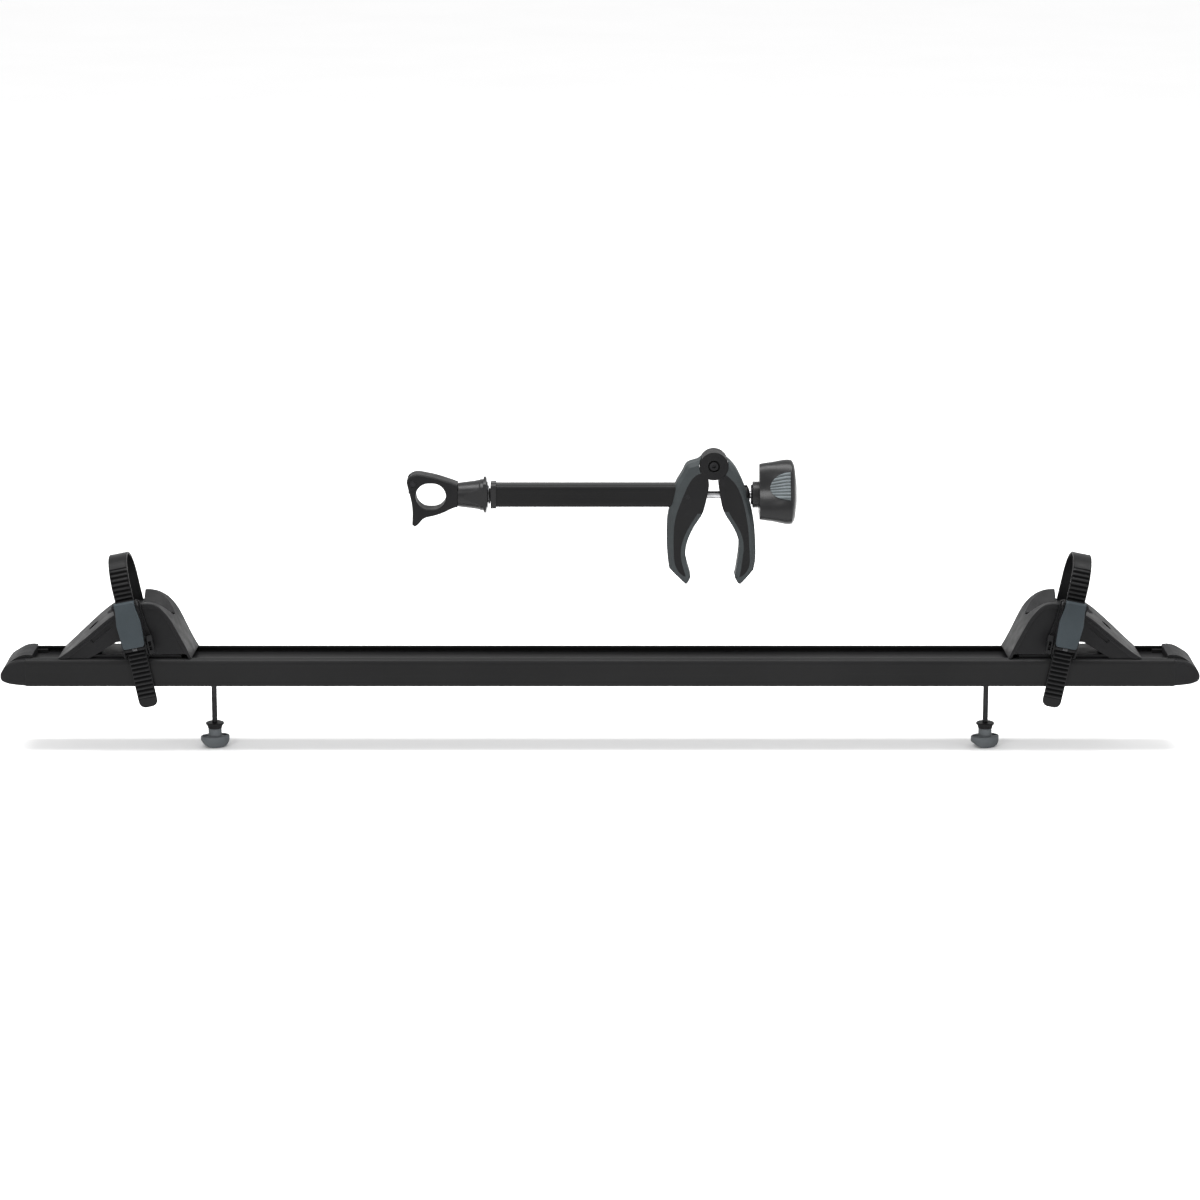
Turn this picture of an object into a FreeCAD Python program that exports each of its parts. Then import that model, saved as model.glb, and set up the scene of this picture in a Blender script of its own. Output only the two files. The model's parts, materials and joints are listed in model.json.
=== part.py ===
import FreeCAD, Part
import math
import os

# Wheel rail and frame-holder arm of a bicycle carrier. Millimetres, +Z up.
# +X runs along the rail, -Y is the side with the strap buckles. The origin is
# on the underside of the rail, half way along it.

V = FreeCAD.Vector
ORIGIN = V(0, 0, 0)
AXIS_X = V(1, 0, 0)
AXIS_Y = V(0, 1, 0)
AXIS_Z = V(0, 0, 1)
os.makedirs("parts", exist_ok=True)

# ---- driving dimensions: rail ----
RAIL_HALF = 611.0          # half the length of the extrusion
RAIL_W = 65.0
RAIL_H = 30.0
SHOULDER_R = 6.0
WALL = 2.0
TRAY_FLOOR = 23.5
TRAY_OPEN = 50.0           # between the lips
TRAY_WIDE = 59.0           # under the lips
LIP_UNDER = 27.8           # height of the lips' lower face
SLOT_W = 8.4               # T-slot mouth
POCKET_W = 16.0            # T-slot pocket for the bolt head
POCKET_TOP = 8.5
FLOOR_T = 2.5              # thickness of the rail's bottom wall

# ---- driving dimensions: end caps ----
CAP_NOSE = 638.5
DOME_W = 49.2
PLUG_L = 18.0

# ---- driving dimensions: T-bolts ----
BOLT_X = 414.0
BOLT_R = 2.9
BOLT_END = -71.0
WASHER_TOP = -48.0
KNOB_TOP = -54.2
KNOB_END = -74.0
WING_TOP = -62.5           # flat top of the grip
WING_L = 31.0
WING_W = 21.0
POCKET_DEEP = 5.0
KNOB_TURN = 16.0           # how far the grip is turned from the rail's line, degrees

# ---- driving dimensions: wheel holder (left one; the right one is its mirror) ----
HOLDER_HALF_W = 30.0
HOLDER_BASE = RAIL_H + 0.1
GROOVE_FLOOR = 72.0
GROOVE_HALF_LOW = 5.0
GROOVE_HALF_HIGH = 28.0
GROOVE_HIGH = 95.0
HOLDER_SCREWS = (-541.0, -459.0)
CLAMP_T = 3.0

# ---- driving dimensions: strap and buckle, in the leaning strap's own frame ----
STRAP_X = -498.0           # where the buckle's middle is
STRAP_Z = 70.0
LEAN = -11.5               # degrees about Y
STRAP_W = 20.0
STRAP_T = 2.0
RIB_H = 1.2
RIB_PITCH = 4.8
RIB_COUNT = 30
TAIL_PLAIN = 12.0             # smooth end of the tail
LOOP_R = 31.0
LOOP_Y = -5.0
LOOP_Z = 38.0
FRONT_Y = LOOP_Y - LOOP_R
BACK_Y = LOOP_Y + LOOP_R
TAIL_END = -93.0
ANCHOR_Z = -9.0
PLATE_IN = 11.3            # inner face of the buckle frame's side plates
PLATE_OUT = 12.9
BASE_Y0 = -34.2
BASE_Y1 = -32.2
LEVER_Y = -42.6            # the lever pin's axis
LEVER_Z = 21.0
PIN_R = 1.8
RELEASE_Y = -41.0
RELEASE_Z = -27.0
DRIVE_Y = -41.6
DRIVE_Z = 10.0

# ---- driving dimensions: frame-holder arm ----
ARM_Z = 202.0
TUBE_H = 24.5
TUBE_D = 21.0
TUBE_T = 1.8
TUBE_X0 = -110.0
TUBE_X1 = 96.0
RIVET_X = 92.5
GATE_X = -198.0
GATE_Z = 215.7
SHANK_R = 7.0
PIVOT_X = 120.3
PIVOT_Z = 235.0
KNUCKLE_R = 15.0
JAW_HALF_T = 13.0
TONGUE_HALF = 4.4
ROD_R = 3.9
KNOB_X = 161.5
KNOB_FACE = 208.0
GRIP_RIM = 201.0
GRIP_REACH = 21.5
GRIP_HALF = 15.5
FIT = 0.05                 # running fit on pins
GAP = 0.3                  # clearance between neighbours


# ---- helpers ----
def box(x0, y0, z0, x1, y1, z1):
    return Part.makeBox(x1 - x0, y1 - y0, z1 - z0, V(x0, y0, z0))


def rod(x, y, z, axis, radius, length):
    return Part.makeCylinder(radius, length, V(x, y, z), axis)


def tube(x, y, z, axis, outer, inner, length):
    return rod(x, y, z, axis, outer, length).cut(rod(x, y, z, axis, inner, length))


def polygon(points):
    return Part.Face(Part.makePolygon(points + [points[0]]))


def spline(points):
    curve = Part.BSplineCurve()
    curve.interpolate(points)
    return curve.toShape()


def prism_y(outline, y0, y1):
    """A straight-edged outline of (x, z) points, pushed along Y."""
    return polygon([V(x, y0, z) for x, z in outline]).extrude(V(0, y1 - y0, 0))


def prism_x(outline, x0, x1):
    """A straight-edged outline of (y, z) points, pushed along X."""
    return polygon([V(x0, y, z) for y, z in outline]).extrude(V(x1 - x0, 0, 0))


def curved_prism_y(runs, y0, y1):
    """An outline of several (x, z) runs, each a smooth curve or a straight line."""
    edges = []
    for run in runs:
        points = [V(x, y0, z) for x, z in run]
        edges.append(spline(points) if len(points) > 2 else Part.makeLine(*points))
    return Part.Face(Part.Wire(edges)).extrude(V(0, y1 - y0, 0))


def fuse(shapes):
    return shapes[0].multiFuse(shapes[1:]).removeSplitter()


def rounded(shape, radius, pick):
    """Round the edges that pick chooses; an edge that won't round stays sharp."""
    chosen = [e for e in shape.Edges if pick(e)]
    if not chosen:
        return shape
    try:
        result = shape.makeFillet(radius, chosen)
        return result if result.isValid() and result.Volume > 0 else shape
    except Exception:
        return shape


def along(edge, axis):
    """Is this a straight edge in the direction of the axis?"""
    if not isinstance(edge.Curve, Part.Line):
        return False
    return edge.Curve.Direction.cross(axis).Length < 1e-6


def middle(edge):
    return edge.CenterOfMass


def mirrored(shape):
    return shape.mirror(ORIGIN, AXIS_X)


def leaned(shape):
    """From the strap's own frame to the left holder's place."""
    result = shape.copy()
    result.rotate(ORIGIN, AXIS_Y, LEAN)
    result.translate(V(STRAP_X, 0, STRAP_Z))
    return result


def save(name, shape):
    solids = shape.Solids
    if len(solids) == 1:
        shape = solids[0]
    shape.exportStep("parts/" + name + ".step")


def save_pair(name, left):
    save(name + "_left", left)
    save(name + "_right", mirrored(left))


# ---- rail ----
def rail():
    half_w = RAIL_W / 2
    body = box(-RAIL_HALF, -half_w, 0, RAIL_HALF, half_w, RAIL_H)
    body = rounded(body, SHOULDER_R, lambda e: along(e, AXIS_X) and middle(e).z > RAIL_H - 1)
    body = rounded(body, 1.5, lambda e: along(e, AXIS_X) and middle(e).z < 1)
    web = TRAY_FLOOR - WALL
    long = RAIL_HALF + 1
    pocket = POCKET_W / 2
    cuts = [
        box(-long, -TRAY_OPEN / 2, TRAY_FLOOR, long, TRAY_OPEN / 2, RAIL_H + 1),
        box(-long, -TRAY_WIDE / 2, TRAY_FLOOR, long, TRAY_WIDE / 2, LIP_UNDER),
        box(-long, -SLOT_W / 2, -1, long, SLOT_W / 2, FLOOR_T + 1),
        box(-long, -pocket, FLOOR_T, long, pocket, POCKET_TOP),
        box(-long, -pocket, POCKET_TOP + WALL, long, pocket, web),
    ]
    for side in (-1, 1):
        edges = sorted((side * (pocket + WALL), side * (half_w - WALL)))
        cuts.append(box(-long, edges[0], FLOOR_T, long, edges[1], web))
    body = body.cut(fuse(cuts[:2]))
    for cut in cuts[2:]:
        body = body.cut(cut)
    lip_edge = TRAY_OPEN / 2
    lips = [e for e in body.Edges if along(e, AXIS_X) and middle(e).z > RAIL_H - 0.1]
    return rounded(body, 0.8, lambda e: any(e.isSame(l) for l in lips) and abs(abs(middle(e).y) - lip_edge) < 0.01)


# ---- end caps (right one) ----
def end_cap():
    half_w = RAIL_W / 2
    joint = RAIL_HALF
    nose = CAP_NOSE
    side = curved_prism_y(
        [
            [(joint, 0), (joint + 13, 1.4), (nose - 6, 3.4), (nose - 2, 5.4)],
            [(nose - 2, 5.4), (nose, 9.5), (nose - 1.4, 14.9)],
            [(nose - 1.4, 14.9), (nose - 8, 23.3), (joint + 8, 28.2), (joint, 29)],
            [(joint, 29), (joint, 0)],
        ],
        -half_w,
        half_w,
    )
    side = rounded(side, 3.5, lambda e: abs(abs(middle(e).y) - half_w) < 0.01 and middle(e).x > joint + 1)
    dome = curved_prism_y(
        [
            [(joint - 6.5, TRAY_FLOOR + 0.3), (joint - 6.5, 32.4)],
            [(joint - 6.5, 32.4), (joint, 33), (joint + 7, 31.3), (joint + 16, 26),
             (nose - 2.5, 17), (nose - 0.4, 12)],
            [(nose - 0.4, 12), (nose - 0.4, 8)],
            [(nose - 0.4, 8), (joint, 8)],
            [(joint, 8), (joint, TRAY_FLOOR + 0.3)],
            [(joint, TRAY_FLOOR + 0.3), (joint - 6.5, TRAY_FLOOR + 0.3)],
        ],
        -DOME_W / 2,
        DOME_W / 2,
    )
    dome = rounded(dome, 2.5, lambda e: abs(abs(middle(e).y) - DOME_W / 2) < 0.01 and middle(e).z > 15)
    plan = box(joint - 20, -half_w, -5, nose, half_w, 40)
    plan = rounded(plan, 5.0, lambda e: along(e, AXIS_Z) and middle(e).x > joint)
    cap = fuse([side, dome]).common(plan)
    cap = cap.cut(box(joint - 1, -27, 3, joint + 14, 27, 16))
    parts = [cap]
    for sign in (-1, 1):
        ys = sorted((sign * 10.4, sign * 30.1))
        plug = box(joint - PLUG_L, ys[0], 2.9, joint + 1.5, ys[1], 21.1)
        core = box(joint - PLUG_L - 1, ys[0] + 3, 5.9, joint + 1.6, ys[1] - 3, 18.1)
        parts.append(plug.cut(core))
        tongue = sorted((sign * 20.5, sign * 24.6))
        parts.append(box(joint - 17, tongue[0], TRAY_FLOOR + 0.3, joint - 6, tongue[1], LIP_UNDER - 0.6))
    return fuse(parts)


# ---- T-bolt, cup washer and wing knob ----
def t_bolt(x):
    head = box(x - 6.8, -SLOT_W / 2 - 3.2, FLOOR_T + 0.1, x + 6.8, SLOT_W / 2 + 3.2, FLOOR_T + 4.6)
    neck = box(x - 4, -SLOT_W / 2 + 0.2, 0, x + 4, SLOT_W / 2 - 0.2, FLOOR_T + 0.5)
    shank = rod(x, 0, BOLT_END, AXIS_Z, BOLT_R, -BOLT_END + 1)
    shank = shank.makeChamfer(0.7, [e for e in shank.Edges if abs(middle(e).z - BOLT_END) < 0.01])
    return fuse([head, neck, shank])


def cup_washer(x):
    flange_r = 9.75
    rim = rod(x, 0, WASHER_TOP - 2.4, AXIS_Z, flange_r, 2.4)
    rim = rim.makeFillet(0.8, [e for e in rim.Edges if isinstance(e.Curve, Part.Circle)])
    cup = Part.makeCone(7.6, 8.6, 3.8, V(x, 0, WASHER_TOP - 6), AXIS_Z)
    return fuse([rim, cup]).cut(rod(x, 0, WASHER_TOP - 7, AXIS_Z, BOLT_R + 0.1, 8))


def wings(x):
    """The grip: an oval with a flat top, rounded underneath like a boat, hollow beside the hub."""
    half = WING_L / 2
    side = curved_prism_y(
        [
            [(x - half, WING_TOP - 2), (x - half, WING_TOP)],
            [(x - half, WING_TOP), (x + half, WING_TOP)],
            [(x + half, WING_TOP), (x + half, WING_TOP - 2)],
            [(x + half, WING_TOP - 2), (x + 13.5, KNOB_END + 4), (x + 9, KNOB_END + 1), (x, KNOB_END),
             (x - 9, KNOB_END + 1), (x - 13.5, KNOB_END + 4), (x - half, WING_TOP - 2)],
        ],
        -WING_W,
        WING_W,
    )
    oval = Part.Ellipse(V(x, 0, KNOB_END - 1), half, WING_W / 2)
    plan = Part.Face(Part.Wire(oval.toShape())).extrude(V(0, 0, 20))
    grip = rounded(side.common(plan), 1.2, lambda e: middle(e).z > WING_TOP - 0.1)
    for sign in (-1, 1):
        pocket = rod(x + sign * 10.4, 0, WING_TOP - POCKET_DEEP, AXIS_Z, 3.6, POCKET_DEEP + 1)
        grip = grip.cut(pocket)
    return grip


def wing_knob(x):
    hub = Part.makeCone(6.8, 7.3, KNOB_TOP - KNOB_END - 3, V(x, 0, KNOB_END + 3), AXIS_Z)
    hub = hub.makeFillet(1.0, [e for e in hub.Edges if abs(middle(e).z - KNOB_TOP) < 0.01])
    knob = fuse([hub, wings(x)])
    knob = knob.cut(rod(x, 0, KNOB_END - 1, AXIS_Z, BOLT_R + 0.4, 30))
    knob = knob.cut(rod(x, 0, KNOB_TOP - 9, AXIS_Z, 4.6, 10))
    knob.rotate(V(x, 0, 0), AXIS_Z, KNOB_TURN)
    return knob


def knob_insert(x):
    return tube(x, 0, KNOB_TOP - 9, AXIS_Z, 4.6, BOLT_R + FIT, 9)


# ---- wheel holder (left one) ----
FRONT_RAMP = [
    (-576.5, HOLDER_BASE), (-570.5, 33.6), (-556, 44.5), (-542, 56),
    (-521, 73.5), (-505, 83.3), (-490, 89.2), (-477.5, 90),
]
FRONT_NOSE = [
    (-477.5, 90), (-469, 87), (-462.6, 81), (-456, 72.4),
    (-450.2, 62), (-441.5, 45), (-434.5, HOLDER_BASE),
]
BACK_RAMP = [
    (-575, HOLDER_BASE), (-566, 38.6), (-553, 51), (-539, 64),
    (-522.7, 77), (-507, 86), (-495, 91.4), (-487.5, 92.4),
]
BACK_NOSE = [
    (-487.5, 92.4), (-478, 91.8), (-470, 89), (-461, 82.5),
    (-452, 70.4), (-446, 58), (-439, 43), (-432, HOLDER_BASE),
]


def inset(points, distance):
    """The same run of points, moved square to its line towards the inside of the hump."""
    moved = []
    for i, (x, z) in enumerate(points):
        ax, az = points[max(i - 1, 0)]
        bx, bz = points[min(i + 1, len(points) - 1)]
        length = math.hypot(bx - ax, bz - az)
        moved.append((x + distance * (bz - az) / length, z - distance * (bx - ax) / length))
    return moved


def hump_outline(ramp, nose, y):
    edges = [spline([V(x, y, z) for x, z in run]) for run in (ramp, nose)]
    edges.append(Part.makeLine(edges[1].Vertexes[-1].Point, edges[0].Vertexes[0].Point))
    return Part.Wire(edges)


def holder_hump():
    """The hump, drawn from its front outline through to its taller back one."""
    half = HOLDER_HALF_W
    outlines = [hump_outline(FRONT_RAMP, FRONT_NOSE, -half), hump_outline(BACK_RAMP, BACK_NOSE, half)]
    hump = Part.makeLoft(outlines, True, True)
    hump = rounded(hump, 1.6, lambda e: abs(abs(middle(e).y) - half) < 0.01 and middle(e).z > 40)
    notch = prism_y([(-527, 79.6), (-520, 80.8), (-488.4, 81.6), (-487.4, 100), (-527, 100)], 12, half + 1)
    return hump.cut(notch)


def tyre_groove():
    slope = (GROOVE_HALF_HIGH - GROOVE_HALF_LOW) / (GROOVE_HIGH - GROOVE_FLOOR)
    top = GROOVE_HALF_LOW + slope * (120 - GROOVE_FLOOR)
    outline = [(-GROOVE_HALF_LOW, GROOVE_FLOOR), (GROOVE_HALF_LOW, GROOVE_FLOOR), (top, 120), (-top, 120)]
    groove = prism_x(outline, -600, -410)
    return rounded(groove, 5.0, lambda e: along(e, AXIS_X) and middle(e).z < GROOVE_FLOOR + 1)


def wheel_holder():
    body = holder_hump().cut(tyre_groove()).cut(holder_hollow())
    face = -HOLDER_HALF_W
    ramp = inset(FRONT_RAMP, 5.0)[1:]
    nose = inset(FRONT_NOSE, 3.5)[1:]
    panel = curved_prism_y(
        [ramp + nose[:1], nose, [nose[-1], ramp[0]]], face - 1, face + 1.2
    )
    body = body.cut(panel)
    low = HOLDER_BASE - 1
    opening = prism_y([(-544.5, low), (-513.5, 48), (-484, 50), (-484, low)], face - 1, face + 20)
    gap = prism_y([(-480, low), (-480, 34.8), (-439.5, 34.8), (-436.5, low)], face - 1, face + 18)
    recess = prism_y([(-541.6, 50.2), (-538.4, 46.6), (-518.6, 63.4), (-521.8, 67.2)], face - 1, face + 2.6)
    back_gap = prism_y([(-545, low), (-538, 42), (-462, 42), (-452, low)], -face - 12, -face + 1)
    line = inset(FRONT_RAMP, 2.2)[2:7]
    under = inset(FRONT_RAMP, 3.0)[2:7]
    loop = [line, [line[-1], under[-1]], under[::-1], [under[0], line[0]]]
    rim_line = curved_prism_y(loop, face - 1, face + 1)
    for cut in (opening, gap, recess, back_gap, rim_line):
        body = body.cut(cut)
    key = box(-566, -TRAY_OPEN / 2 + 1, LIP_UNDER - 0.4, -446, TRAY_OPEN / 2 - 1, HOLDER_BASE + 3)
    body = fuse([body, key])
    slot = leaned(box(-STRAP_W / 2 - 0.7, BACK_Y - 2, ANCHOR_Z - 6, STRAP_W / 2 + 0.7, BACK_Y + 2, 45))
    body = body.cut(slot)
    body = body.cut(leaned(rod(0, BACK_Y - 9, ANCHOR_Z, AXIS_Y, 2.5, 20)))
    body = body.cut(leaned(rod(0, BASE_Y1 - 1, 2, AXIS_Y, 2.4, 14)))
    for x in HOLDER_SCREWS:
        body = body.cut(rod(x, 0, 20, AXIS_Z, 2.8, 20))
        body = body.cut(rod(x, 0, 32, AXIS_Z, 5.0, 60))
    return body


def holder_hollow():
    """The space inside the moulding, around the two screw bosses."""
    hollow = prism_y([(-558, 32.5), (-506, 63), (-474, 65), (-449, 32.5)], -24, 24)
    for x in HOLDER_SCREWS:
        hollow = hollow.cut(rod(x, 0, 30, AXIS_Z, 8.5, 50))
    return hollow


def clamp_plate():
    top = LIP_UNDER - 0.45
    plate = box(-562, -TRAY_WIDE / 2 + 1, top - CLAMP_T, -450, TRAY_WIDE / 2 - 1, top)
    plate = rounded(plate, 5.0, lambda e: along(e, AXIS_Z))
    for x in HOLDER_SCREWS:
        plate = plate.cut(rod(x, 0, 20, AXIS_Z, 2.5, 10))
    return plate


def clamp_screws():
    screws = []
    for x in HOLDER_SCREWS:
        shank = rod(x, 0, TRAY_FLOOR + 0.4, AXIS_Z, 2.5, 9)
        head = rod(x, 0, 32, AXIS_Z, 4.6, 3)
        socket = Part.makeCylinder(1.6, 2, V(x, 0, 33.2), AXIS_Z)
        screws.append(fuse([shank, head]).cut(socket))
    return Part.makeCompound(screws)


# ---- ratchet strap (in its own frame) ----
def strap_rib(y, z, turn):
    """One cross rib on the outer side of the strap; turn is the strap's angle there."""
    half = STRAP_W / 2 - 1.6
    corner = V(-half, -STRAP_T / 2 - RIB_H, -RIB_PITCH / 4)
    rib = Part.makeBox(2 * half, RIB_H + 0.4, RIB_PITCH / 2, corner)
    rib.rotate(ORIGIN, AXIS_X, turn)
    rib.translate(V(0, y, z))
    return rib


def strap():
    half_t = STRAP_T / 2
    outer, inner = LOOP_R + half_t, LOOP_R - half_t
    arch = rod(-STRAP_W / 2, LOOP_Y, LOOP_Z, AXIS_X, outer, STRAP_W)
    arch = arch.cut(rod(-STRAP_W / 2 - 1, LOOP_Y, LOOP_Z, AXIS_X, inner, STRAP_W + 2))
    arch = arch.common(box(-20, -60, LOOP_Z, 20, 60, 100))
    back = box(-STRAP_W / 2, BACK_Y - half_t, ANCHOR_Z - 5, STRAP_W / 2, BACK_Y + half_t, LOOP_Z)
    front = box(-STRAP_W / 2, FRONT_Y - half_t, TAIL_END, STRAP_W / 2, FRONT_Y + half_t, LOOP_Z)
    front = rounded(front, 6.5, lambda e: along(e, AXIS_Y) and middle(e).z < TAIL_END + 1)
    pieces = [arch, back, front]
    for i in range(RIB_COUNT):
        z = TAIL_END + TAIL_PLAIN + i * RIB_PITCH
        if z < LOOP_Z:
            pieces.append(strap_rib(FRONT_Y, z, 0))
        else:
            turn = (z - LOOP_Z) / LOOP_R
            y = LOOP_Y - LOOP_R * math.cos(turn)
            pieces.append(strap_rib(y, LOOP_Z + LOOP_R * math.sin(turn), -math.degrees(turn)))
    whole = fuse(pieces)
    return whole.cut(rod(0, BACK_Y - 5, ANCHOR_Z, AXIS_Y, 2.6, 10))


def strap_anchor_pin():
    return rod(0, BACK_Y - 8, ANCHOR_Z, AXIS_Y, 2.45, 11.5)


# ---- buckle (in the strap's own frame) ----
def plate_outline():
    return [
        (LEVER_Y - 1, LEVER_Z), (LEVER_Y - 3.0, LEVER_Z + 0.8), (LEVER_Y - 2.6, LEVER_Z + 2.4),
        (LEVER_Y - 1.2, LEVER_Z + 3.6), (LEVER_Y + 3, LEVER_Z + 4), (BASE_Y1, 14),
        (BASE_Y1, -34), (-40, -36), (-43.6, -33), (-43.6, -24), (-42.6, -12),
    ]


def buckle_frame():
    base = box(-PLATE_IN - 0.5, BASE_Y0, -33, PLATE_IN + 0.5, BASE_Y1, 14)
    flange = [(11, 24), (15, 22), (15.8, 0), (17.6, -12), (19, -20), (19, -30), (17, -33), (11, -33)]
    wide = prism_y(flange, BASE_Y0, BASE_Y1)
    narrow = prism_y([(-11, 20), (-13.6, 19), (-14.2, 0), (-13.4, -20), (-11, -33)], BASE_Y0, BASE_Y1)
    parts = [base, wide, narrow]
    for x0, x1 in ((-PLATE_OUT, -PLATE_IN), (PLATE_IN, PLATE_OUT)):
        parts.append(prism_x(plate_outline(), x0, x1))
    parts.append(rod(0, BASE_Y1, 2, AXIS_Y, 5.0, -HOLDER_HALF_W + 1.2 - BASE_Y1 - 0.02))
    frame = fuse(parts)
    for y, z in ((LEVER_Y, LEVER_Z), (RELEASE_Y, RELEASE_Z)):
        frame = frame.cut(rod(-20, y, z, AXIS_X, PIN_R + FIT, 40))
    frame = frame.cut(rod(0, BASE_Y0 - 1, 2, AXIS_Y, 2.4, 12))
    return frame.cut(Part.makeCone(4.2, 2.4, 1.4, V(0, BASE_Y0, 2), AXIS_Y))


def frame_rivet():
    head = Part.makeCone(4.1, 2.4, 1.3, V(0, BASE_Y0 + 0.05, 2), AXIS_Y)
    return fuse([head, rod(0, BASE_Y0 + 1, 2, AXIS_Y, 2.35, 12)])


def buckle_pins():
    """The lever pin, with its two riveted heads."""
    pin = rod(-PLATE_OUT - 0.4, LEVER_Y, LEVER_Z, AXIS_X, PIN_R, 2 * PLATE_OUT + 0.8)
    heads = [
        rod(-PLATE_OUT - 1.2, LEVER_Y, LEVER_Z, AXIS_X, 2.7, 1.1),
        rod(PLATE_OUT + 0.1, LEVER_Y, LEVER_Z, AXIS_X, 2.7, 1.1),
    ]
    return fuse([pin] + heads)


def lever_outline():
    half = [(10.8, 24.6), (11.0, 15.5), (13.0, 1.5), (12.6, -8), (11.4, -25)]
    return half + [(-x, z) for x, z in half[::-1]]


def buckle_lever():
    front = LEVER_Y - 4.4
    cover = prism_y(lever_outline(), front, front + 3.0)
    cover = rounded(cover, 3.0, lambda e: along(e, AXIS_Y) and abs(middle(e).z) > 20)
    cover = rounded(cover, 1.2, lambda e: abs(middle(e).y - front) < 0.01)
    top = rod(-10.8, LEVER_Y, LEVER_Z, AXIS_X, 4.2, 21.6)
    skirt = box(-10.9, front + 1, -20, 10.9, LEVER_Y + 1.2, LEVER_Z)
    skirt = skirt.cut(box(-8.9, front + 2.6, -21, 8.9, LEVER_Y + 2, LEVER_Z - 5))
    lever = fuse([cover, top, skirt])
    lever = lever.cut(rod(-20, LEVER_Y, LEVER_Z, AXIS_X, PIN_R + FIT, 40))
    hole = rod(-10.2, DRIVE_Y, DRIVE_Z, AXIS_X, 1.4 + FIT, 20.4)
    ears = [
        rod(x, DRIVE_Y, DRIVE_Z, AXIS_X, 2.8, 2.0) for x in (-10.9, 8.9)
    ]
    return fuse([lever] + ears).cut(hole)


def drive_pawl():
    barrel = rod(-8.5, DRIVE_Y, DRIVE_Z, AXIS_X, 2.3, 17)
    trunnions = rod(-10, DRIVE_Y, DRIVE_Z, AXIS_X, 1.4, 20)
    tongue = prism_x(
        [(DRIVE_Y - 1.2, DRIVE_Z), (DRIVE_Y + 1.6, DRIVE_Z), (-38.5, DRIVE_Z - 8), (-40.2, DRIVE_Z - 9)], -7.5, 7.5
    )
    pawl = fuse([barrel, trunnions, tongue])
    return pawl.cut(tube(-2.5, DRIVE_Y, DRIVE_Z, AXIS_X, 12, 1.4, 5))


def drive_spring():
    return tube(-2.3, DRIVE_Y, DRIVE_Z, AXIS_X, 2.2, 1.6, 4.6)


def release_pawl():
    y, z = RELEASE_Y, RELEASE_Z
    shaft = rod(-PLATE_OUT - 0.5, y, z, AXIS_X, PIN_R, PLATE_OUT + 15.5)
    barrel = rod(-PLATE_IN + 0.4, y, z, AXIS_X, 2.6, 2 * PLATE_IN - 0.8)
    tongue = prism_x([(y - 1.8, z), (y + 1.8, z), (-38.4, z + 7.5), (-40.4, z + 9)], -8.4, 8.4)
    outline = [(y - 3.4, z - 8), (y + 1.6, z - 8), (y + 2.4, z + 10), (y - 0.6, z + 12), (y - 4.2, z + 6)]
    tab = prism_x(outline, 14.2, 20.6)
    tab = rounded(tab, 1.2, lambda e: True)
    window = box(15.8, y - 6, z - 4, 18.8, y + 6, z + 6)
    groove = tube(-3, y, z, AXIS_X, 14, PIN_R, 6)
    grip = fuse([tab.cut(window), rod(13.4, y, z, AXIS_X, PIN_R, 7)])
    return fuse([fuse([barrel, tongue]).cut(groove), shaft, grip])


def pawl_spring():
    return tube(-2.7, RELEASE_Y, RELEASE_Z, AXIS_X, 2.6, PIN_R + 0.2, 5.4)


# ---- hook ring, gate and collar ----
RING_TOP = [
    (GATE_X - 6.4, GATE_Z + 0.5), (-203.2, 221), (-197.7, 225), (-184, 224.5),
    (-175.5, 222.7), (-162.6, 218.8), (-150.7, 214.6),
]
RING_BOTTOM = [
    (-150.7, 190.5), (-156, 189.2), (-162.6, 186), (-169.5, 183),
    (-179.8, 180.2), (-187, 177.8), (-192, 172.4), (-196.4, 169.4),
]
RING_LEFT = [
    (-199, 171.4), (-198.6, 182), (-198.8, 190), (-200.2, 199),
    (-202.2, 207.4), (GATE_X - 6.4, GATE_Z + 0.5),
]
HOLE_X = -179.0
HOLE_W = 32.0
HOLE_H = 28.0
HOOK_HALF_T = 12.0
BOSS_R = 8.0


def eye():
    """The oblong hole of the hook ring: two half rounds and a short straight."""
    radius = HOLE_H / 2
    reach = HOLE_W / 2 - radius
    ends = [rod(HOLE_X + dx, -20, ARM_Z, AXIS_Y, radius, 40) for dx in (-reach, reach)]
    link = box(HOLE_X - reach, -20, ARM_Z - radius, HOLE_X + reach, 20, ARM_Z + radius)
    return fuse(ends + [link])


def ring_blank():
    half = HOOK_HALF_T
    blank = curved_prism_y(
        [
            RING_TOP,
            [RING_TOP[-1], RING_BOTTOM[0]],
            RING_BOTTOM,
            [RING_BOTTOM[-1], RING_LEFT[0]],
            RING_LEFT,
        ],
        -half,
        half,
    )
    blank = rounded(blank, 2.4, lambda e: abs(abs(middle(e).y) - half) < 0.01 and middle(e).x < -152)
    blank = blank.cut(eye())
    return rounded(
        blank,
        2.0,
        lambda e: abs(abs(middle(e).y) - half) < 0.01
        and abs(middle(e).x - HOLE_X) < HOLE_W / 2 + 1
        and abs(middle(e).z - ARM_Z) < HOLE_H / 2 + 1,
    )


def gate_zone(grow):
    """The part of the ring that swings: the strip beside the lobe and the lower arc."""
    return prism_y(
        [
            (-215, GATE_Z - 7.3 + grow), (GATE_X, GATE_Z - 7.3 + grow), (GATE_X, GATE_Z - 5.5),
            (-190, GATE_Z - 5.5), (-188, 202 + grow), (-176, 196 + grow),
            (-171 + grow, 190), (-166 + grow, 178), (-215, 160),
        ],
        -30,
        30,
    )


def gate_turn(radius):
    """The round boss about the gate's pin that the gate swings past."""
    return rod(GATE_X, -30, GATE_Z, AXIS_Y, radius, 60)


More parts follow.
